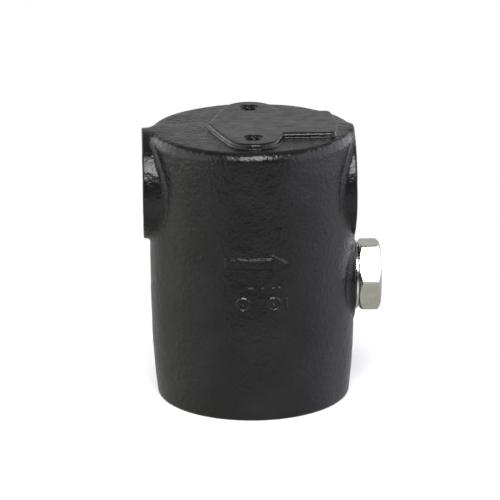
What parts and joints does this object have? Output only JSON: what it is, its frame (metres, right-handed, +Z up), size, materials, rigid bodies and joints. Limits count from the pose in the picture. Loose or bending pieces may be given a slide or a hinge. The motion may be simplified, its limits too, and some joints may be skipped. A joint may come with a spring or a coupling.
{
  "type": "steam trap",
  "caption": "Upright round float steam trap with side ports, a raised mounting pad on top, a hexagon plug over its valve seat, and a ball float inside.",
  "frame": {"origin": "centre of the bottom cover's underside, on the axis of the round body, in the plane the trap stands on", "axes": "+Z up along the body's axis, +X towards the outlet and the hexagon plug, -Y towards the side with the flow arrow"},
  "size_m": [0.1157, 0.1013, 0.1367],
  "materials": {
    "painted_iron": "black paint, glossy, over a cast skin",
    "stainless": "pressed or turned, satin",
    "bright_plate": "bright nickel plate over turned steel",
    "black_steel": "black oxide",
    "graphite": "pressed graphite sheet",
    "copper": "soft copper, dull"
  },
  "bodies": {
    "housing": {"body": "painted_iron", "bottom_cover": "painted_iron", "valve_seat": "stainless", "lever_bracket": "stainless", "pivot_pin": "stainless", "pin_clip": "stainless", "pivot_washer_1": "stainless", "pivot_washer_2": "stainless", "vent_seat": "stainless", "vent_capsule_front": "stainless", "vent_capsule_back": "stainless", "vent_cage": "stainless", "inlet_baffle": "stainless", "access_plug": "bright_plate", "access_plug_washer": "bright_plate", "cover_screw_1": "black_steel", "cover_screw_2": "black_steel", "cover_screw_3": "black_steel", "cover_screw_4": "black_steel", "cover_screw_5": "black_steel", "cover_screw_6": "black_steel", "drain_plug": "black_steel", "bracket_screw_1": "black_steel", "bracket_screw_2": "black_steel", "baffle_screw_1": "black_steel", "baffle_screw_2": "black_steel", "cover_gasket": "graphite", "valve_seat_gasket": "copper"},
    "float_arm": {"float_lever": "stainless", "valve_head": "stainless", "float_near_shell": "stainless", "float_far_shell": "stainless", "float_stud": "stainless", "float_lock_nut": "stainless"},
    "vent_valve": {"vent_valve": "stainless"}
  },
  "joints": [
    {"name": "float_swing", "type": "hinge", "parent": "housing", "child": "float_arm", "pos_m": [0.017, 0, 0.075], "axis": [0, 1, 0], "range_deg": [0, 24]},
    {"name": "vent_stroke", "type": "slide", "parent": "housing", "child": "vent_valve", "axis": [1, 0, 0], "range_m": [0, 0.0008]}
  ]
}
